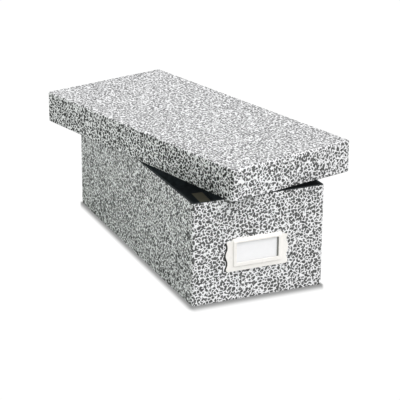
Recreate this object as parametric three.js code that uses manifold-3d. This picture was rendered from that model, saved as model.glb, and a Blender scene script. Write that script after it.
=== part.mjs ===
// Index card file box: a paper-covered board tray and its lift-off lid, which lies turned across the rim.
// Millimetres, +Z up, +Y towards the back. The origin is the middle of the underside.

import * as THREE from 'three';
import { mergeVertices } from 'three/addons/utils/BufferGeometryUtils.js';
import Module from 'manifold-3d';

const wasm = await Module();
wasm.setup();

// Papers and board
const coverPaper = 0.3;
const liningPaper = 0.3;
const boardThickness = 1.9;

// The box, which holds 127 by 76 mm cards standing on their long edge
const boxWidth = 136;
const boxLength = 300;
const boxHeight = 102.7;
const boxCornerRadius = 2.6;
const boxFoldRadius = 1.6;

// The lid: its room round the box, its depth, and how it lies on the rim
const lidClearance = 1.5;
const lidHeight = 31.4;
const lidCornerRadius = 3.4;
const lidFoldRadius = 1.8;
const lidYawDegrees = 14.1;
const lidShiftX = -0.3;
const lidShiftY = 5.5;
const lidSeatGap = 0.3;

// Linings: a strip up the walls and over the rim, and a sheet on the floor
const rimRadius = 0.25;
const sheetClearance = 0.3;
const boxGluedGap = 0;
const lidGluedGap = 0.3;

// Stamped label holder on the front wall
const steel = 0.5;
const holderWidth = 65;
const holderHeight = 32.8;
const holderCentreHeight = 45.9;
const holderShiftX = -1.5;
const holderCornerRadius = 2.6;
const scallopDepth = 2;
const scallopPitch = 16;
const flangeBottom = 4.4;
const flangeSide = 7.2;
const frameRise = 1.9;
const frameDraft = 0.7;
const frameTopDraft = 2.6;
const frameRadius = 1.6;
const frameSideBar = 3.5;
const frameBottomBar = 4.3;
const frameTopBar = 1.6;
const windowRadius = 0.8;
const shoulderDrop = 2.8;
const shoulderSlope = 1.6;
const earRadius = 1.6;
const creaseWidth = 31;
const creaseHeight = 0.7;
const creaseDepth = 0.2;

// The holder's prongs, driven through slits and folded flat inside
const prongWidth = 3;
const prongLength = 6;
const prongBend = 0.4;
const slitClearance = 0.3;

// Label card
const cardThickness = 0.3;
const cardFootClearance = 0.3;
const cardSidePlay = 4;
const cardTopPlay = 1.6;

// Fineness of the round stretches
const cornerSteps = 6;
const filletSteps = 4;
const scallopSteps = 28;

const wall = boardThickness + coverPaper;

const box = {
  width: boxWidth,
  length: boxLength,
  height: boxHeight,
  cornerRadius: boxCornerRadius,
  foldRadius: boxFoldRadius,
  gluedGap: boxGluedGap,
};

const lidMargin = lidClearance + liningPaper + lidGluedGap + wall;
const lid = {
  width: boxWidth + 2 * lidMargin,
  length: boxLength + 2 * lidMargin,
  height: lidHeight,
  cornerRadius: lidCornerRadius,
  foldRadius: lidFoldRadius,
  gluedGap: lidGluedGap,
};

// Shape helpers

/** Points of a quarter turn round a centre, as [inset, height] pairs. */
function quarter(inset, height, radius, fromDegrees) {
  const points = [];
  for (let i = 0; i <= filletSteps; i += 1) {
    const angle = THREE.MathUtils.degToRad(fromDegrees - (90 * i) / filletSteps);
    points.push([inset + radius * Math.cos(angle), height + radius * Math.sin(angle)]);
  }
  return points;
}

/** One level loop of a rounded rectangle, anticlockwise seen from above. */
function roundedLoop(halfWidth, halfLength, radius, height) {
  const loop = [];
  const corners = [[1, 1, 0], [-1, 1, 90], [-1, -1, 180], [1, -1, 270]];
  for (const [signX, signY, start] of corners) {
    for (let i = 0; i <= cornerSteps; i += 1) {
      const angle = THREE.MathUtils.degToRad(start + (90 * i) / cornerSteps);
      const x = signX * (halfWidth - radius) + radius * Math.cos(angle);
      const y = signY * (halfLength - radius) + radius * Math.sin(angle);
      loop.push([x, y, height]);
    }
  }
  return loop;
}

/** Skins a stack of loops of equal count. A stack that isn't closed gets a flat cap at each end. */
function skin(loops, closed) {
  const count = loops[0].length;
  const positions = loops.flat(2);
  const index = [];
  const rows = closed ? loops.length : loops.length - 1;
  for (let row = 0; row < rows; row += 1) {
    const low = row * count;
    const high = ((row + 1) % loops.length) * count;
    for (let i = 0; i < count; i += 1) {
      const next = (i + 1) % count;
      index.push(low + i, low + next, high + next);
      index.push(low + i, high + next, high + i);
    }
  }
  if (!closed) {
    const top = (loops.length - 1) * count;
    const centreLow = loops.length * count;
    positions.push(0, 0, loops[0][0][2]);
    positions.push(0, 0, loops.at(-1)[0][2]);
    for (let i = 0; i < count; i += 1) {
      const next = (i + 1) % count;
      index.push(centreLow, next, i);
      index.push(centreLow + 1, top + i, top + next);
    }
  }
  const geometry = new THREE.BufferGeometry();
  geometry.setAttribute('position', new THREE.Float32BufferAttribute(positions, 3));
  geometry.setIndex(index);
  return geometry;
}

/** Carries a section of [inset, height] points round a piece's rounded rectangle. */
function sweepSection(section, piece, closed) {
  const sharp = 0.2;
  const loops = section.map(([inset, height]) => roundedLoop(
    piece.width / 2 - inset,
    piece.length / 2 - inset,
    Math.max(piece.cornerRadius - inset, sharp),
    height,
  ));
  return skin(loops, closed);
}

function toManifold(geometry) {
  const bare = geometry.clone();
  bare.deleteAttribute('normal');
  bare.deleteAttribute('uv');
  const merged = mergeVertices(bare, 1e-5);
  return new wasm.Manifold(new wasm.Mesh({
    numProp: 3,
    vertProperties: new Float32Array(merged.attributes.position.array),
    triVerts: new Uint32Array(merged.index.array),
  }));
}

function toGeometry(manifold) {
  const mesh = manifold.getMesh();
  const geometry = new THREE.BufferGeometry();
  geometry.setAttribute('position', new THREE.BufferAttribute(mesh.vertProperties, 3));
  geometry.setIndex(new THREE.BufferAttribute(mesh.triVerts, 1));
  return geometry;
}

function polygon(points) {
  return new THREE.Shape(points.map(([x, y]) => new THREE.Vector2(x, y)));
}

function extrude(shape, depth) {
  return new THREE.ExtrudeGeometry(shape, { depth, bevelEnabled: false });
}

// Stands a drawing up: its Y becomes height, and its depth points out of the front.
const standUp = new THREE.Matrix4().makeRotationX(Math.PI / 2);

// Turns an open tray over, mouth down.
const turnOver = new THREE.Matrix4().makeScale(1, -1, -1);

// Papered board trays and their linings, mouth up

/** Board folded up from its floor, with the cover paper glued over it and trimmed at the rim. */
function boardTray(piece) {
  const { foldRadius } = piece;
  const rim = piece.height - liningPaper - piece.gluedGap;
  const section = [
    ...quarter(foldRadius, foldRadius, foldRadius, 270),
    [0, rim],
    [wall, rim],
    [wall, wall],
  ];
  return sweepSection(section, piece, false);
}

/** Strip of lining paper round the inside of the walls, folded over the rim to the cover paper. */
function wallLining(piece) {
  const outer = wall + piece.gluedGap;
  const inner = outer + liningPaper;
  const underside = piece.height - liningPaper;
  const round = Math.min(rimRadius, liningPaper);
  const section = [
    [outer, outer],
    [outer, underside],
    [coverPaper, underside],
    ...quarter(coverPaper + round, piece.height - round, round, 180),
    ...quarter(inner - round, piece.height - round, round, 90),
    [inner, outer],
  ];
  return sweepSection(section, piece, true);
}

/** Sheet of lining paper on the floor, inside the strip. */
function floorLining(piece) {
  const inset = wall + piece.gluedGap + liningPaper + sheetClearance;
  const foot = wall + piece.gluedGap;
  const section = [[inset, foot], [inset, foot + liningPaper]];
  return sweepSection(section, piece, false);
}

// Label holder and its card, drawn upright with their heights from the holder's middle

const frontFace = -boxLength / 2;
const liningFace = frontFace + wall + liningPaper;
const holderTop = holderHeight / 2;
const frameHalfWidth = holderWidth / 2 - flangeSide;
const frameFoot = -holderTop + flangeBottom;
const channelDepth = frameRise - steel;
const crownTop = holderTop - frameTopDraft;
const prongEdge = holderWidth / 2 - scallopDepth;
const prongLevels = [-scallopPitch / 2, scallopPitch / 2];

/** How far the flange's side lies in from its full width, at a height on the holder. */
function scallop(height) {
  const wave = (1 - Math.cos((2 * Math.PI * height) / scallopPitch)) / 2;
  return scallopDepth * wave;
}

/** One loop of the pressing, anticlockwise, whose sides may be scalloped. */
function holderLoop({ halfWidth, bottom, top, radius, depth, scalloped }) {
  const loop = [];
  const sideAt = (height) => halfWidth - (scalloped ? scallop(height) : 0);
  const addSide = (sign, from, to) => {
    for (let i = 1; i < scallopSteps; i += 1) {
      const height = from + ((to - from) * i) / scallopSteps;
      loop.push([sign * sideAt(height), height, depth]);
    }
  };
  const addCorner = (sign, centre, start) => {
    const centreX = sign * (sideAt(centre) - radius);
    for (let i = 0; i <= cornerSteps; i += 1) {
      const angle = THREE.MathUtils.degToRad(start + (90 * i) / cornerSteps);
      loop.push([centreX + radius * Math.cos(angle), centre + radius * Math.sin(angle), depth]);
    }
  };
  addSide(1, bottom + radius, top - radius);
  addCorner(1, top - radius, 0);
  addCorner(-1, top - radius, 90);
  addSide(-1, top - radius, bottom + radius);
  addCorner(-1, bottom + radius, 180);
  addCorner(1, bottom + radius, 270);
  return loop;
}

/** The same outline, moved in by a distance on every side. */
function inward(outline, by) {
  return {
    ...outline,
    halfWidth: outline.halfWidth - by,
    bottom: outline.bottom + by,
    top: outline.top - by,
  };
}

/** The pressed sheet: a flat flange round a raised frame, whose top slopes back to the wall. */
function pressing() {
  const spare = 6;
  const edge = steel / 4;
  const flange = {
    halfWidth: holderWidth / 2,
    bottom: -holderTop,
    top: holderTop + spare,
    radius: holderCornerRadius,
    scalloped: true,
  };
  const foot = {
    halfWidth: frameHalfWidth,
    bottom: frameFoot,
    top: holderTop - edge,
    radius: frameRadius,
  };
  const crown = { ...inward(foot, frameDraft), top: crownTop };
  const window = {
    halfWidth: frameHalfWidth - frameSideBar,
    bottom: frameFoot + frameBottomBar,
    top: crownTop - frameTopBar,
    radius: windowRadius,
  };
  const stack = [
    { ...flange, depth: 0 },
    { ...flange, depth: steel - edge },
    { ...inward(flange, edge), depth: steel },
    { ...foot, depth: steel },
    { ...crown, depth: frameRise - edge },
    { ...inward(crown, edge), depth: frameRise },
    { ...inward(window, -edge), depth: frameRise },
    { ...window, depth: frameRise - edge },
    { ...window, depth: channelDepth },
    { ...inward(crown, steel), depth: channelDepth },
    { ...inward(foot, steel), depth: 0 },
  ];
  return skin(stack.map(holderLoop), true);
}

/** What is trimmed off the pressing: its long top, down to the sloped shoulders and the ears. */
function holderTrim() {
  const reach = holderWidth;
  const earTop = holderTop - shoulderDrop;
  const earCentreY = earTop - earRadius;
  const earCentreX = holderWidth / 2 - scallop(earCentreY) - earRadius;
  const right = [
    [frameHalfWidth, holderTop],
    [frameHalfWidth + shoulderSlope, earTop],
  ];
  for (let i = 0; i <= cornerSteps; i += 1) {
    const angle = THREE.MathUtils.degToRad(90 - (90 * i) / cornerSteps);
    right.push([earCentreX + earRadius * Math.cos(angle), earCentreY + earRadius * Math.sin(angle)]);
  }
  right.push([reach, earCentreY]);
  right.push([reach, reach]);
  const left = right.map(([x, y]) => [-x, y]).reverse();
  const drawing = extrude(polygon([...left, ...right]), frameRise + 2 * steel);
  return drawing.translate(0, 0, -steel);
}

/** Shallow crease pressed along the middle of the frame's top bar. */
function crease() {
  const groove = new THREE.BoxGeometry(creaseWidth, creaseHeight, 2 * creaseDepth);
  return groove.translate(0, crownTop - creaseHeight, frameRise);
}

/** Prong bent from a notch's edge: through the wall, then flat on the lining towards the middle. */
function prong(sign, level) {
  const root = frontFace - steel / 2;
  const back = liningFace + steel;
  const tip = prongEdge - prongLength;
  const outline = polygon([
    [sign * prongEdge, root],
    [sign * prongEdge, back - prongBend],
    [sign * (prongEdge - prongBend), back],
    [sign * (tip + steel), back],
    [sign * tip, back - steel / 2],
    [sign * tip, liningFace],
    [sign * (prongEdge - steel), liningFace],
    [sign * (prongEdge - steel), root],
  ]);
  const foot = holderCentreHeight + level - prongWidth / 2;
  return extrude(outline, prongWidth).translate(holderShiftX, 0, foot);
}

/** Room for a prong through the wall and its lining. */
function slit(sign, level) {
  const width = steel + 2 * slitClearance;
  const height = prongWidth + 2 * slitClearance;
  const cut = new THREE.BoxGeometry(width, 3 * wall, height);
  const middle = holderShiftX + sign * (prongEdge - steel / 2);
  return cut.translate(middle, frontFace + wall / 2, holderCentreHeight + level);
}

function cutSlits(geometry) {
  let solid = toManifold(geometry);
  for (const sign of [-1, 1]) {
    for (const level of prongLevels) {
      solid = solid.subtract(toManifold(slit(sign, level)));
    }
  }
  return toGeometry(solid);
}

function labelHolder() {
  const trimmed = toManifold(pressing()).subtract(toManifold(holderTrim()));
  const pressed = toGeometry(trimmed.subtract(toManifold(crease())));
  const standing = pressed.applyMatrix4(standUp).translate(holderShiftX, frontFace, holderCentreHeight);
  let holder = toManifold(standing);
  for (const sign of [-1, 1]) {
    for (const level of prongLevels) {
      holder = holder.add(toManifold(prong(sign, level)));
    }
  }
  return toGeometry(holder);
}

/** Card in the holder's channel, standing on its foot and pushed to the left. */
function labelCard() {
  const rise = cardThickness / channelDepth;
  const edgeRoom = steel + rise * frameDraft + cardFootClearance;
  const left = -frameHalfWidth + edgeRoom;
  const right = frameHalfWidth - edgeRoom - cardSidePlay;
  const foot = frameFoot + edgeRoom;
  const top = holderTop - 2 * steel - rise * frameTopDraft - cardTopPlay;
  const outline = polygon([[left, foot], [right, foot], [right, top], [left, top]]);
  const standing = extrude(outline, cardThickness).applyMatrix4(standUp);
  return standing.translate(holderShiftX, frontFace, holderCentreHeight);
}

// Finishes and assembly

const finishes = {
  patternedPaper: { color: 0x9a9c9b, roughness: 0.7, metalness: 0 },
  blackPaper: { color: 0x15191b, roughness: 0.85, metalness: 0 },
  enamelledSteel: { color: 0xece9df, roughness: 0.4, metalness: 0 },
  whiteCard: { color: 0xf3f3f6, roughness: 0.8, metalness: 0 },
};

function addPiece(group, name, geometry, finish) {
  const mesh = new THREE.Mesh(geometry, new THREE.MeshStandardMaterial(finish));
  mesh.name = name;
  group.add(mesh);
}

function buildBox() {
  const group = new THREE.Group();
  addPiece(group, 'box_tray', cutSlits(boardTray(box)), finishes.patternedPaper);
  addPiece(group, 'box_wall_lining', cutSlits(wallLining(box)), finishes.blackPaper);
  addPiece(group, 'box_floor_lining', floorLining(box), finishes.blackPaper);
  return group;
}

function buildLabel() {
  const group = new THREE.Group();
  addPiece(group, 'label_holder', labelHolder(), finishes.enamelledSteel);
  addPiece(group, 'label_card', labelCard(), finishes.whiteCard);
  return group;
}

/** The lid, mouth down, with its mouth at the group's origin. */
function buildLid() {
  const group = new THREE.Group();
  const mouthDown = (geometry) => geometry.applyMatrix4(turnOver).translate(0, 0, lidHeight);
  addPiece(group, 'lid_tray', mouthDown(boardTray(lid)), finishes.patternedPaper);
  addPiece(group, 'lid_wall_lining', mouthDown(wallLining(lid)), finishes.blackPaper);
  addPiece(group, 'lid_top_lining', mouthDown(floorLining(lid)), finishes.blackPaper);
  group.position.set(lidShiftX, lidShiftY, boxHeight + lidSeatGap);
  group.rotation.z = THREE.MathUtils.degToRad(lidYawDegrees);
  return group;
}

const cardFileBox = new THREE.Group();
cardFileBox.add(buildBox());
cardFileBox.add(buildLabel());
cardFileBox.add(buildLid());

export default cardFileBox;
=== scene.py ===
"""Index card file box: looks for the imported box, whose papered lid lies turned on its rim."""

import logging
import math
from dataclasses import dataclass
from enum import Enum

import bmesh
import bpy
from mathutils import Matrix, Vector


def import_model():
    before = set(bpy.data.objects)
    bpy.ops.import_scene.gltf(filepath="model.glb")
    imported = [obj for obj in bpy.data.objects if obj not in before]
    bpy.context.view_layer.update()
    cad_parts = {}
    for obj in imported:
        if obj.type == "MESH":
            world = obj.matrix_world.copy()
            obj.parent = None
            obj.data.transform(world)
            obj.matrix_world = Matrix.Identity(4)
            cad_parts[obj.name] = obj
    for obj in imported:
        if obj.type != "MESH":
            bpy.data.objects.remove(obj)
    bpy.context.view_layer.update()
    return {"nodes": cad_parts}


LOG = logging.getLogger("card_file_box")
MM = 0.001
FULL_WHITE = (1.0, 1.0, 1.0)
MIDDLE_LEVEL = 0.5
NO_DETAIL = 0.0
SOME_DETAIL = 2.0

Span = tuple[float, float]
Triple = tuple[float, float, float]
Socket = bpy.types.NodeSocket


class Piece(Enum):
    """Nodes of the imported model."""

    BOX_TRAY = "box_tray"
    BOX_WALL_LINING = "box_wall_lining"
    BOX_FLOOR_LINING = "box_floor_lining"
    LABEL_HOLDER = "label_holder"
    LABEL_CARD = "label_card"
    LID_TRAY = "lid_tray"
    LID_WALL_LINING = "lid_wall_lining"
    LID_TOP_LINING = "lid_top_lining"


class LampKind(Enum):
    """Kinds of light, each with the name of the property that makes it soft."""

    SUN = "angle"
    AREA = "size"
    POINT = "shadow_soft_size"


class ShaderSketch:
    """A material and its node tree, with short ways to add the nodes that these finishes use."""

    def __init__(self, name: str) -> None:
        """Makes an empty material.

        Args:
            name: Name of the material.
        """
        self.material = bpy.data.materials.new(name)
        self.material.use_nodes = True
        self.tree = self.material.node_tree
        self.tree.nodes.clear()
        self.output = self.tree.nodes.new("ShaderNodeOutputMaterial")

    def node(self, kind: str, **inputs: object) -> bpy.types.Node:
        """Adds a node and fills or links its inputs.

        Args:
            kind: Blender's node type.
            inputs: Input names, with underscores for spaces, and what goes in them.

        Returns:
            The new node.
        """
        made = self.tree.nodes.new(kind)
        for name, value in inputs.items():
            self.put(made.inputs[name.replace("_", " ")], value)
        return made

    def put(self, socket: Socket, value: object) -> None:
        """Links an output to a socket, or sets the socket's own value.

        Args:
            socket: The input socket.
            value: An output socket, a number, a vector or a colour.
        """
        if isinstance(value, Socket):
            self.tree.links.new(value, socket)
        elif isinstance(value, tuple) and socket.type == "RGBA":
            socket.default_value = (*value, 1.0)
        else:
            socket.default_value = value

    def sums(self, operation: str, *values: object) -> Socket:
        """Adds a Math node.

        Args:
            operation: Name of the operation.
            values: Numbers or outputs for its inputs.

        Returns:
            Its output.
        """
        made = self.tree.nodes.new("ShaderNodeMath")
        made.operation = operation
        for socket, value in zip(made.inputs, values):
            self.put(socket, value)
        return made.outputs[0]

    def product(self, first: Socket, *others: Socket) -> Socket:
        """Multiplies several outputs.

        Args:
            first: The first output.
            others: The rest.

        Returns:
            The product.
        """
        for other in others:
            first = self.sums("MULTIPLY", first, other)
        return first

    def vectors(self, operation: str, *values: object) -> Socket:
        """Adds a Vector Math node.

        Args:
            operation: Name of the operation.
            values: Vectors or outputs for its inputs.

        Returns:
            Its vector output.
        """
        made = self.tree.nodes.new("ShaderNodeVectorMath")
        made.operation = operation
        for socket, value in zip(made.inputs, values):
            self.put(socket, value)
        return made.outputs[0]

    def metres(self) -> Socket:
        """Object coordinates in metres.

        Returns:
            The vector output.
        """
        return self.tree.nodes.new("ShaderNodeTexCoord").outputs["Object"]

    def millimetres(self, offset: Triple = (0, 0, 0), turn: Triple = (0, 0, 0)) -> Socket:
        """Object coordinates in millimetres.

        Args:
            offset: Shift of the pattern, in millimetres.
            turn: Turn of the pattern, in radians.

        Returns:
            The vector output.
        """
        scale = (1 / MM, 1 / MM, 1 / MM)
        mapping = self.node(
            "ShaderNodeMapping", Vector=self.metres(), Location=offset, Rotation=turn, Scale=scale
        )
        return mapping.outputs[0]

    def turned(self, vector: Socket, degrees: float, centre: Triple = (0, 0, 0)) -> Socket:
        """Turns coordinates about the upright axis.

        Args:
            vector: The coordinates.
            degrees: The angle.
            centre: Point that stays where it is.

        Returns:
            The turned coordinates.
        """
        angle = math.radians(degrees)
        made = self.node("ShaderNodeVectorRotate", Vector=vector, Center=centre, Angle=angle)
        return made.outputs[0]

    def axes(self, vector: Socket) -> tuple[Socket, Socket, Socket]:
        """Splits a vector.

        Args:
            vector: The vector output.

        Returns:
            Its X, Y and Z.
        """
        made = self.tree.nodes.new("ShaderNodeSeparateXYZ")
        self.put(made.inputs[0], vector)
        return tuple(made.outputs)

    def noise(self, vector: Socket, size: float, detail: float) -> bpy.types.Node:
        """Adds a noise.

        Args:
            vector: Coordinates in millimetres.
            size: Size of its features in millimetres.
            detail: Levels of finer noise.

        Returns:
            The node, with outputs Fac and Color.
        """
        return self.node("ShaderNodeTexNoise", Vector=vector, Scale=1 / size, Detail=detail)

    def level(self, vector: Socket, size: float, detail: float = SOME_DETAIL) -> Socket:
        """Adds a noise and takes its level.

        Args:
            vector: Coordinates in millimetres.
            size: Size of its features in millimetres.
            detail: Levels of finer noise.

        Returns:
            The level, from 0 to 1.
        """
        return self.noise(vector, size, detail).outputs["Fac"]

    def cell_borders(self, vector: Socket, size: float) -> Socket:
        """Adds a cell pattern.

        Args:
            vector: Coordinates in millimetres.
            size: Mean size of a cell in millimetres.

        Returns:
            The distance from the nearest border, in millimetres.
        """
        made = self.node("ShaderNodeTexVoronoi", Vector=vector, Scale=1 / size)
        made.feature = "DISTANCE_TO_EDGE"
        return self.sums("MULTIPLY", made.outputs["Distance"], size)

    def warped(self, vector: Socket, size: float, reach: float) -> Socket:
        """Pushes coordinates about by a noise.

        Args:
            vector: Coordinates in millimetres.
            size: Size of the swirls in millimetres.
            reach: How far they push, in millimetres.

        Returns:
            The moved coordinates.
        """
        colour = self.noise(vector, size, SOME_DETAIL).outputs["Color"]
        push = self.vectors("SUBTRACT", colour, (MIDDLE_LEVEL, MIDDLE_LEVEL, MIDDLE_LEVEL))
        scaled = self.vectors("MULTIPLY", push, (2 * reach, 2 * reach, 2 * reach))
        return self.vectors("ADD", vector, scaled)

    def ramp(self, value: Socket, span: Span, results: Span = (0.0, 1.0)) -> Socket:
        """Maps a value smoothly from one range to another.

        Args:
            value: The output to map.
            span: Start and end of the first range.
            results: What they become.

        Returns:
            The mapped output.
        """
        made = self.tree.nodes.new("ShaderNodeMapRange")
        made.interpolation_type = "SMOOTHSTEP"
        names = ("Value", "From Min", "From Max", "To Min", "To Max")
        for name, item in zip(names, (value, *span, *results)):
            self.put(made.inputs[name], item)
        return made.outputs[0]

    def fade(self, value: Socket, span: Span) -> Socket:
        """Falls smoothly from 1 to 0.

        Args:
            value: The output to map.
            span: Where the fall starts and ends.

        Returns:
            The share.
        """
        return self.ramp(value, span, (1.0, 0.0))

    def blend(self, share: Socket, first: object, second: object) -> Socket:
        """Mixes two colours.

        Args:
            share: Share of the second.
            first: Colour or output.
            second: Colour or output.

        Returns:
            The mixed colour.
        """
        made = self.tree.nodes.new("ShaderNodeMix")
        made.data_type = "RGBA"
        colour_sockets = [socket for socket in made.inputs if socket.type == "RGBA"]
        self.put(made.inputs["Factor"], share)
        for socket, value in zip(colour_sockets, (first, second)):
            self.put(socket, value)
        return next(socket for socket in made.outputs if socket.type == "RGBA")

    def surface(self, tone: Socket, rough: Socket, normal: Socket) -> bpy.types.Node:
        """Adds the surface shader.

        Args:
            tone: Its colour.
            rough: Its roughness.
            normal: Its bumped normal.

        Returns:
            The shader node.
        """
        return self.node(
            "ShaderNodeBsdfPrincipled", Base_Color=tone, Roughness=rough, Normal=normal
        )

    def finish(self, shader: bpy.types.Node) -> bpy.types.Material:
        """Ends the material in a shader.

        Args:
            shader: The last shader node.

        Returns:
            The material.
        """
        self.tree.links.new(shader.outputs[0], self.output.inputs["Surface"])
        return self.material


@dataclass(frozen=True)
class Grain:
    """Fine unevenness of a surface. Lengths are in millimetres."""

    size: float
    detail: float
    strength: float
    depth: float

    def normal(self, s: ShaderSketch, flat: Socket) -> Socket:
        """Adds the bump.

        Args:
            s: The node tree.
            flat: Coordinates in millimetres.

        Returns:
            The bumped normal.
        """
        height = s.level(flat, self.size, self.detail)
        bump = s.node(
            "ShaderNodeBump", Strength=self.strength, Distance=self.depth * MM, Height=height
        )
        return bump.outputs[0]


@dataclass(frozen=True)
class PlateShade:
    """Shade on the front wall's paper, behind the label holder and along its left edge.

    Lengths are in millimetres. Those across and up are measured from the holder's centre, and front
    is where the shade ends along the box. A pair is where an edge starts and ends.
    """

    line: Triple = (0.012, 0.012, 0.012)
    gap: Triple = (0.36, 0.365, 0.345)
    centre: Span = (-1.5, 45.9)
    half_width: float = 32.5
    scallop_depth: float = 2.0
    scallop_pitch: float = 16.0
    band: float = 1.7
    band_blur: float = 0.3
    right: Span = (26.0, 27.0)
    top: Span = (12.2, 13.4)
    bottom: Span = (-16.4, -15.2)
    front: Span = (-146.0, -145.0)
    line_to_gap: Span = (-20.0, -19.0)

    def darken(self, s: ShaderSketch, tone: Socket) -> Socket:
        """Darkens the paper in the shade.

        Args:
            s: The node tree.
            tone: The paper's colour.

        Returns:
            The colour with the shade.
        """
        across, along, height = s.axes(s.millimetres((-self.centre[0], 0.0, -self.centre[1])))
        half_depth = self.scallop_depth / 2
        wave = s.sums("COSINE", s.sums("MULTIPLY", height, 2 * math.pi / self.scallop_pitch))
        side = s.sums("ADD", s.sums("MULTIPLY", wave, half_depth), self.half_width - half_depth)
        band_edge = (-self.band - self.band_blur, -self.band + self.band_blur)
        share = s.product(
            s.ramp(s.sums("ADD", across, side), band_edge),
            s.fade(across, self.right),
            s.fade(height, self.top),
            s.ramp(height, self.bottom),
            s.fade(along, self.front),
        )
        colour = s.blend(s.ramp(across, self.line_to_gap), self.line, self.gap)
        return s.blend(share, tone, colour)


@dataclass(frozen=True)
class PaintedLight:
    """Painted shading on a tray's left side and a painted sheen on its top. Lengths in millimetres.

    The shading deepens the ink and brightens the white, and the sheen mixes in a pale grey. The
    tray is turned about its centre. The box keeps the default top, which is above it.
    """

    centre: Triple = (0.0, 0.0, 0.0)
    turn_degrees: float = 0.0
    left: float = -67.0
    left_blur: float = 0.8
    top: float = 200.0
    top_blur: float = 1.2
    # Painted shading of the left side: its ink and its white.
    painted_side_ink: Triple = (0.040, 0.043, 0.040)
    painted_side_white: Triple = (0.96, 0.97, 0.965)
    # Painted sheen on the top: its share and its colour.
    painted_sheen: float = 0.0
    painted_sheen_colour: Triple = (0.44, 0.425, 0.455)

    def shares(self, s: ShaderSketch) -> tuple[Socket, Socket]:
        """Where the painted shading and the painted sheen are.

        Args:
            s: The node tree.

        Returns:
            Share that is 1 on the painted left side, and share of the painted sheen.
        """
        x, _, z = s.axes(s.turned(s.millimetres(), self.turn_degrees, self.centre))
        edge = self.centre[0] + self.left
        side = s.fade(x, (edge - self.left_blur, edge))
        return side, s.ramp(z, (self.top - self.top_blur, self.top), (0.0, self.painted_sheen))


@dataclass(frozen=True)
class AgatePaper:
    """Cover paper printed with dark leafy blotches between white veins.

    Lengths are in millimetres. Swirls have a size and a reach, levels are those of a noise, and
    edges are shares of a width. A thread's width is in levels of its noise, and its spacing is in
    blotches.
    """

    name: str = "agate_paper"
    ink: Triple = (0.058, 0.060, 0.058)
    pale_ink: Triple = (0.125, 0.128, 0.126)
    white: Triple = (0.88, 0.885, 0.89)
    offset: Triple = (0.0, 0.0, 0.0)
    turn_degrees: float = 0.0
    swirls: tuple[Span, ...] = ((7.0, 1.6), (2.4, 0.6))
    blotch: float = 3.3
    vein: float = 0.44
    vein_edges: Span = (0.5, 1.3)
    missing_vein: float = 2.8
    missing_vein_levels: Span = (0.35, 0.40)
    missing_vein_offset: Triple = (5.0, 83.0, 29.0)
    thread: float = 0.003
    thread_edges: Span = (0.6, 1.4)
    thread_spacing: float = 1.5
    depth_size: float = 2.6
    depth_levels: Span = (0.38, 0.70)
    grain: Grain = Grain(size=0.35, detail=3.0, strength=0.12, depth=0.05)
    gloss_size: float = 14.0
    gloss_levels: Span = (0.3, 0.7)
    roughness: Span = (0.42, 0.56)
    specular: float = 0.35
    # Painted shading on the left side and painted sheen on the top.
    painted_light: PaintedLight = PaintedLight()
    plate: PlateShade | None = None

    def build(self) -> bpy.types.Material:
        """Makes the material.

        Returns:
            The finished material.
        """
        s = ShaderSketch(self.name)
        flat = s.millimetres(self.offset, (0.0, 0.0, math.radians(self.turn_degrees)))
        # Painted light: shading on the left side as deeper ink and brighter white, and a sheen over
        # the top.
        side, top = self.painted_light.shares(s)
        depth = s.ramp(s.level(flat, self.depth_size), self.depth_levels)
        printed = s.blend(depth, self.ink, self.pale_ink)
        printed = s.blend(side, printed, self.painted_light.painted_side_ink)
        white = s.blend(side, self.white, self.painted_light.painted_side_white)
        tone = s.blend(self.unprinted(s, flat), printed, white)
        tone = s.blend(top, tone, self.painted_light.painted_sheen_colour)
        if self.plate:
            tone = self.plate.darken(s, tone)
        gloss = s.ramp(s.level(flat, self.gloss_size), self.gloss_levels, self.roughness)
        shader = s.surface(tone, gloss, self.grain.normal(s, flat))
        shader.inputs["Specular IOR Level"].default_value = self.specular
        return s.finish(shader)

    def unprinted(self, s: ShaderSketch, flat: Socket) -> Socket:
        """White veins round the blotches, some of them missing, and white threads across.

        Args:
            s: The node tree.
            flat: Coordinates in millimetres.

        Returns:
            Share that stays white.
        """
        swirled = flat
        for size, reach in self.swirls:
            swirled = s.warped(swirled, size, reach)
        border = s.cell_borders(swirled, self.blotch)
        elsewhere = s.vectors("ADD", flat, self.missing_vein_offset)
        kept_level = s.level(elsewhere, self.missing_vein, NO_DETAIL)
        kept = s.ramp(kept_level, self.missing_vein_levels)
        full, end = self.vein_edges
        veins = s.product(s.fade(border, (self.vein * full, self.vein * end)), kept)
        return s.sums("MAXIMUM", veins, self.threads(s, swirled))

    def threads(self, s: ShaderSketch, swirled: Socket) -> Socket:
        """White threads that wind across the blotches, along the middle level of a noise.

        Args:
            s: The node tree.
            swirled: Warped coordinates in millimetres.

        Returns:
            Share that stays white.
        """
        level = s.level(swirled, self.blotch * self.thread_spacing, NO_DETAIL)
        away = s.sums("ABSOLUTE", s.sums("SUBTRACT", level, MIDDLE_LEVEL))
        full, end = self.thread_edges
        return s.fade(away, (self.thread * full, self.thread * end))


@dataclass(frozen=True)
class LighterFloorPatch:
    """Lighter brownish patch on the box's floor lining. Lengths are in millimetres."""

    colour: Triple = (0.138, 0.123, 0.086)
    centre: Span = (55.9, 109.0)
    size: Span = (13.0, 31.0)
    turn_degrees: float = 4.3
    edge: float = 0.4

    def share(self, s: ShaderSketch) -> Socket:
        """Share of the surface in the patch.

        Args:
            s: The node tree.

        Returns:
            1 on the patch and 0 elsewhere.
        """
        at = s.millimetres((-self.centre[0], -self.centre[1], 0.0))
        parts = []
        for place, size in zip(s.axes(s.turned(at, self.turn_degrees)), self.size):
            away = s.sums("ABSOLUTE", place)
            parts.append(s.fade(away, (size / 2 - self.edge, size / 2)))
        return s.product(*parts)


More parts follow.
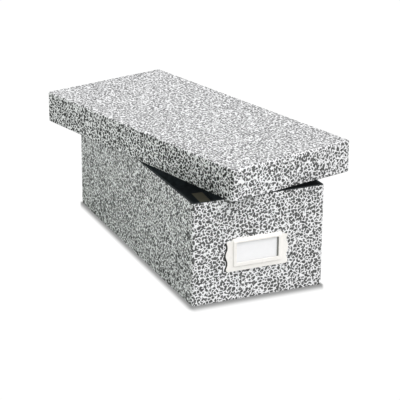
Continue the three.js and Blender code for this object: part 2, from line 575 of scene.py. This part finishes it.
@dataclass(frozen=True)
class PlainFinish:
    """Plain finish whose colour and gloss vary in faint clouds. Lengths are in millimetres."""

    name: str
    colour: Triple
    shade: Triple
    cloud_size: float
    cloud_detail: float
    grain: Grain
    roughness: Span
    tone_levels: Span = (0.35, 0.65)
    rough_levels: Span = (0.3, 0.7)
    specular: float = 0.5
    coat: float = 0.0
    coat_roughness: float = 0.15
    # Lighter brownish patch on the lining, if there is one.
    lighter_patch: LighterFloorPatch | None = None

    def build(self) -> bpy.types.Material:
        """Makes the material.

        Returns:
            The finished material.
        """
        s = ShaderSketch(self.name)
        flat = s.millimetres()
        cloud = s.level(flat, self.cloud_size, self.cloud_detail)
        tone = s.blend(s.ramp(cloud, self.tone_levels), self.colour, self.shade)
        # Lighter brownish patch on the floor lining.
        if self.lighter_patch:
            tone = s.blend(self.lighter_patch.share(s), tone, self.lighter_patch.colour)
        rough = s.ramp(cloud, self.rough_levels, self.roughness)
        shader = s.surface(tone, rough, self.grain.normal(s, flat))
        shader.inputs["Specular IOR Level"].default_value = self.specular
        shader.inputs["Coat Weight"].default_value = self.coat
        shader.inputs["Coat Roughness"].default_value = self.coat_roughness
        return s.finish(shader)


def black_lining(name: str, lighter_patch: LighterFloorPatch | None = None) -> PlainFinish:
    """Matt black lining paper with a faint fibre.

    Args:
        name: Name of the material.
        lighter_patch: Lighter brownish patch on the lining, if there is one.

    Returns:
        The finish.
    """
    return PlainFinish(
        name=name,
        colour=(0.014, 0.017, 0.018),
        shade=(0.030, 0.035, 0.037),
        cloud_size=5.0,
        cloud_detail=4.0,
        grain=Grain(size=0.5, detail=3.0, strength=0.3, depth=0.06),
        roughness=(0.66, 0.82),
        tone_levels=(0.35, 0.7),
        specular=0.12,
        lighter_patch=lighter_patch,
    )


def ivory_enamel() -> PlainFinish:
    """Ivory stoving enamel on sheet steel, slightly uneven.

    Returns:
        The finish.
    """
    return PlainFinish(
        name="ivory_enamel",
        colour=(0.92, 0.90, 0.86),
        shade=(0.895, 0.875, 0.835),
        cloud_size=9.0,
        cloud_detail=3.0,
        grain=Grain(size=0.9, detail=1.0, strength=0.25, depth=0.03),
        roughness=(0.26, 0.36),
        coat=0.15,
    )


def white_card() -> PlainFinish:
    """Plain white index card stock.

    Returns:
        The finish.
    """
    return PlainFinish(
        name="white_card",
        colour=(0.90, 0.902, 0.906),
        shade=(0.89, 0.892, 0.897),
        cloud_size=4.0,
        cloud_detail=4.0,
        grain=Grain(size=0.3, detail=2.0, strength=0.15, depth=0.02),
        roughness=(0.6, 0.72),
    )


def lid_paper() -> AgatePaper:
    """The same cover paper on the turned lid, in another place of its pattern.

    Returns:
        The finish.
    """
    lid_turn_degrees = -14.1
    return AgatePaper(
        name="agate_paper_lid",
        offset=(231.0, 407.0, 58.0),
        turn_degrees=lid_turn_degrees,
        # Painted shading on the lid's left side, with much darker ink, and painted sheen on its
        # top.
        painted_light=PaintedLight(
            centre=(-0.3, 5.5, 0.0),
            turn_degrees=lid_turn_degrees,
            left=-71.2,
            top=133.6,
            painted_side_ink=(0.010, 0.012, 0.010),
            painted_sheen=0.14,
        ),
    )


def dress(frame: dict, material: bpy.types.Material, *pieces: Piece) -> None:
    """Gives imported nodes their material.

    Args:
        frame: The loaded frame.
        material: The finish.
        pieces: The nodes.
    """
    for piece in pieces:
        for slot in frame["nodes"][piece.value].material_slots:
            slot.material = material
        LOG.info("dressed %s in %s", piece.value, material.name)


def dress_box(frame: dict) -> None:
    """Dresses the papered box and its black linings.

    Args:
        frame: The loaded frame.
    """
    dress(frame, AgatePaper(plate=PlateShade()).build(), Piece.BOX_TRAY)
    dress(frame, black_lining("black_lining").build(), Piece.BOX_WALL_LINING)
    dress(frame, black_lining("black_floor", LighterFloorPatch()).build(), Piece.BOX_FLOOR_LINING)


def dress_lid(frame: dict) -> None:
    """Dresses the lift-off lid and its black linings.

    Args:
        frame: The loaded frame.
    """
    lining = black_lining("black_lining_lid").build()
    dress(frame, lid_paper().build(), Piece.LID_TRAY)
    dress(frame, lining, Piece.LID_WALL_LINING, Piece.LID_TOP_LINING)


def dress_label(frame: dict) -> None:
    """Dresses the stamped holder and its card.

    Args:
        frame: The loaded frame.
    """
    dress(frame, ivory_enamel().build(), Piece.LABEL_HOLDER)
    dress(frame, white_card().build(), Piece.LABEL_CARD)


@dataclass(frozen=True)
class FootShade:
    """Soft shade on the floor round the box's foot, in metres.

    Slant is how much the right and back shade are cut off along the line of sight. Brightness is
    that of the floor at the foot and away from it.
    """

    foot: Span = (136 * MM, 300 * MM)
    left: float = 7.5 * MM
    right: float = 3.0 * MM
    front: float = 14.0 * MM
    back: float = 7.0 * MM
    slant: float = 0.42
    brightness: Span = (0.33, 1.03)

    def build(self, s: ShaderSketch) -> Socket:
        """Brightness of the floor, darker close to the box.

        Args:
            s: The node tree.

        Returns:
            The output.
        """
        x, y, _ = s.axes(s.metres())
        half_width, half_length = self.foot[0] / 2, self.foot[1] / 2
        front = self.beyond(s, -half_length, y)
        left = self.beyond(s, -half_width, x)
        back = self.beyond(s, s.sums("ADD", y, s.sums("DIVIDE", left, self.slant)), half_length)
        right = self.beyond(s, s.sums("ADD", x, s.sums("MULTIPLY", front, self.slant)), half_width)
        across = s.sums(
            "ADD", s.sums("DIVIDE", left, self.left), s.sums("DIVIDE", right, self.right)
        )
        along = s.sums(
            "ADD", s.sums("DIVIDE", front, self.front), s.sums("DIVIDE", back, self.back)
        )
        squares = s.sums("ADD", s.product(across, across), s.product(along, along))
        return s.ramp(s.sums("SQRT", squares), (0.0, 1.0), self.brightness)

    @staticmethod
    def beyond(s: ShaderSketch, value: object, limit: object) -> Socket:
        """How far a value is past a limit, or 0.

        Args:
            s: The node tree.
            value: Number or output.
            limit: Number or output.

        Returns:
            The distance.
        """
        return s.sums("MAXIMUM", s.sums("SUBTRACT", value, limit), 0.0)


@dataclass(frozen=True)
class Lamp:
    """A light. Lengths are in metres, and a light with an aim shines from there to the origin.

    Softness is a sun's angle in radians, or the size of another light in metres.
    """

    name: str
    kind: LampKind
    power: float
    colour: Triple
    softness: float
    place: Triple = (0.0, 0.0, 0.0)
    aim_from: Triple | None = None

    def build(self) -> None:
        """Adds the light to the scene."""
        lamp = bpy.data.lights.new(self.name, self.kind.name)
        lamp.energy = self.power
        lamp.color = self.colour
        setattr(lamp, self.kind.value, self.softness)
        holder = bpy.data.objects.new(self.name, lamp)
        holder.location = self.place
        if self.aim_from:
            holder.rotation_mode = "QUATERNION"
            holder.rotation_quaternion = Vector(self.aim_from).to_track_quat("Z", "Y")
        bpy.context.scene.collection.objects.link(holder)


@dataclass(frozen=True)
class Studio:
    """Pale floor, soft light and the photograph's camera. Lengths in metres, angles in degrees.

    The key is very soft and comes from above the front right. The side light brightens the far
    end of the side walls, and the fill stands for the light that leaks into the box.
    """

    floor_size: float = 12.0
    floor_colour: Triple = (0.60, 0.60, 0.60)
    foot_shade: FootShade = FootShade()
    sky: float = 0.54
    sky_colour: Triple = (0.945, 1.0, 0.955)
    key: Lamp = Lamp(
        name="key",
        kind=LampKind.SUN,
        power=2.8,
        colour=(1.0, 0.965, 1.0),
        softness=math.radians(62.0),
        aim_from=(0.33, -0.50, 0.92),
    )
    side: Lamp = Lamp(
        name="side",
        kind=LampKind.AREA,
        power=0.42,
        colour=(0.93, 1.0, 0.95),
        softness=0.22,
        place=(-0.52, 0.42, 0.20),
        aim_from=(-0.52, 0.42, 0.20),
    )
    fill: Lamp = Lamp(
        name="fill",
        kind=LampKind.POINT,
        power=0.13,
        colour=(0.86, 0.96, 1.0),
        softness=25 * MM,
        place=(0.0, 0.07, 0.05),
    )
    azimuth: float = -23.865
    elevation: float = 20.53
    roll: float = 0.33
    camera_place: Triple = (-0.6326, -1.4436, 0.6355)
    lens: float = 149.05
    sensor_width: float = 36.0
    clip: Span = (0.05, 50.0)

    def build(self) -> None:
        """Makes the floor, the world, the lights and the camera."""
        self.make_floor()
        self.make_world()
        for lamp in (self.key, self.side, self.fill):
            lamp.build()
        self.make_camera()

    def make_floor(self) -> None:
        """Lays the floor, which looks white but for a soft shade round the box's foot."""
        mesh = bpy.data.meshes.new("studio_floor")
        sheet = bmesh.new()
        bmesh.ops.create_grid(sheet, x_segments=1, y_segments=1, size=self.floor_size / 2)
        sheet.to_mesh(mesh)
        sheet.free()
        floor = bpy.data.objects.new("studio_floor", mesh)
        bpy.context.scene.collection.objects.link(floor)
        s = ShaderSketch("studio_floor")
        matt = s.node("ShaderNodeBsdfDiffuse", Color=self.floor_colour)
        brightness = self.foot_shade.build(s)
        white = s.node("ShaderNodeEmission", Color=FULL_WHITE, Strength=brightness)
        path = s.tree.nodes.new("ShaderNodeLightPath")
        seen = s.sums("MAXIMUM", path.outputs["Is Camera Ray"], path.outputs["Is Transmission Ray"])
        mix = s.node("ShaderNodeMixShader", Fac=seen)
        s.tree.links.new(matt.outputs[0], mix.inputs[1])
        s.tree.links.new(white.outputs[0], mix.inputs[2])
        mesh.materials.append(s.finish(mix))

    def make_world(self) -> None:
        """Lights the scene evenly, with a white background."""
        world = bpy.data.worlds.new("studio")
        bpy.context.scene.world = world
        world.use_nodes = True
        tree = world.node_tree
        tree.nodes.clear()
        out = tree.nodes.new("ShaderNodeOutputWorld")
        mix = tree.nodes.new("ShaderNodeMixShader")
        path = tree.nodes.new("ShaderNodeLightPath")
        seen = tree.nodes.new("ShaderNodeMath")
        seen.operation = "MAXIMUM"
        tree.links.new(path.outputs["Is Camera Ray"], seen.inputs[0])
        tree.links.new(path.outputs["Is Glossy Ray"], seen.inputs[1])
        tree.links.new(seen.outputs[0], mix.inputs[0])
        for place, strength, colour in ((1, self.sky, self.sky_colour), (2, 1.0, FULL_WHITE)):
            light = tree.nodes.new("ShaderNodeBackground")
            light.inputs["Strength"].default_value = strength
            light.inputs["Color"].default_value = (*colour, 1.0)
            tree.links.new(light.outputs[0], mix.inputs[place])
        tree.links.new(mix.outputs[0], out.inputs["Surface"])

    def make_camera(self) -> None:
        """Sets the camera where the photograph was taken from."""
        turn = math.radians(self.azimuth)
        rise = math.radians(self.elevation)
        level = math.cos(rise)
        back = Vector((math.sin(turn) * level, -math.cos(turn) * level, math.sin(rise)))
        right = Vector((math.cos(turn), math.sin(turn), 0.0))
        up = back.cross(right)
        rolled = Matrix.Rotation(math.radians(self.roll), 3, back)
        lens = bpy.data.cameras.new("camera")
        lens.lens = self.lens
        lens.sensor_width = self.sensor_width
        lens.clip_start, lens.clip_end = self.clip
        camera = bpy.data.objects.new("camera", lens)
        axes = Matrix((rolled @ right, rolled @ up, back)).transposed()
        camera.matrix_world = Matrix.Translation(self.camera_place) @ axes.to_4x4()
        bpy.context.scene.collection.objects.link(camera)
        bpy.context.scene.camera = camera


def main() -> None:
    """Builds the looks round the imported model."""
    logging.basicConfig(level=logging.INFO, format="%(message)s")
    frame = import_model()
    bpy.context.scene.view_settings.view_transform = "Standard"
    dress_box(frame)
    dress_lid(frame)
    dress_label(frame)
    Studio().build()


if __name__ == "__main__":
    main()
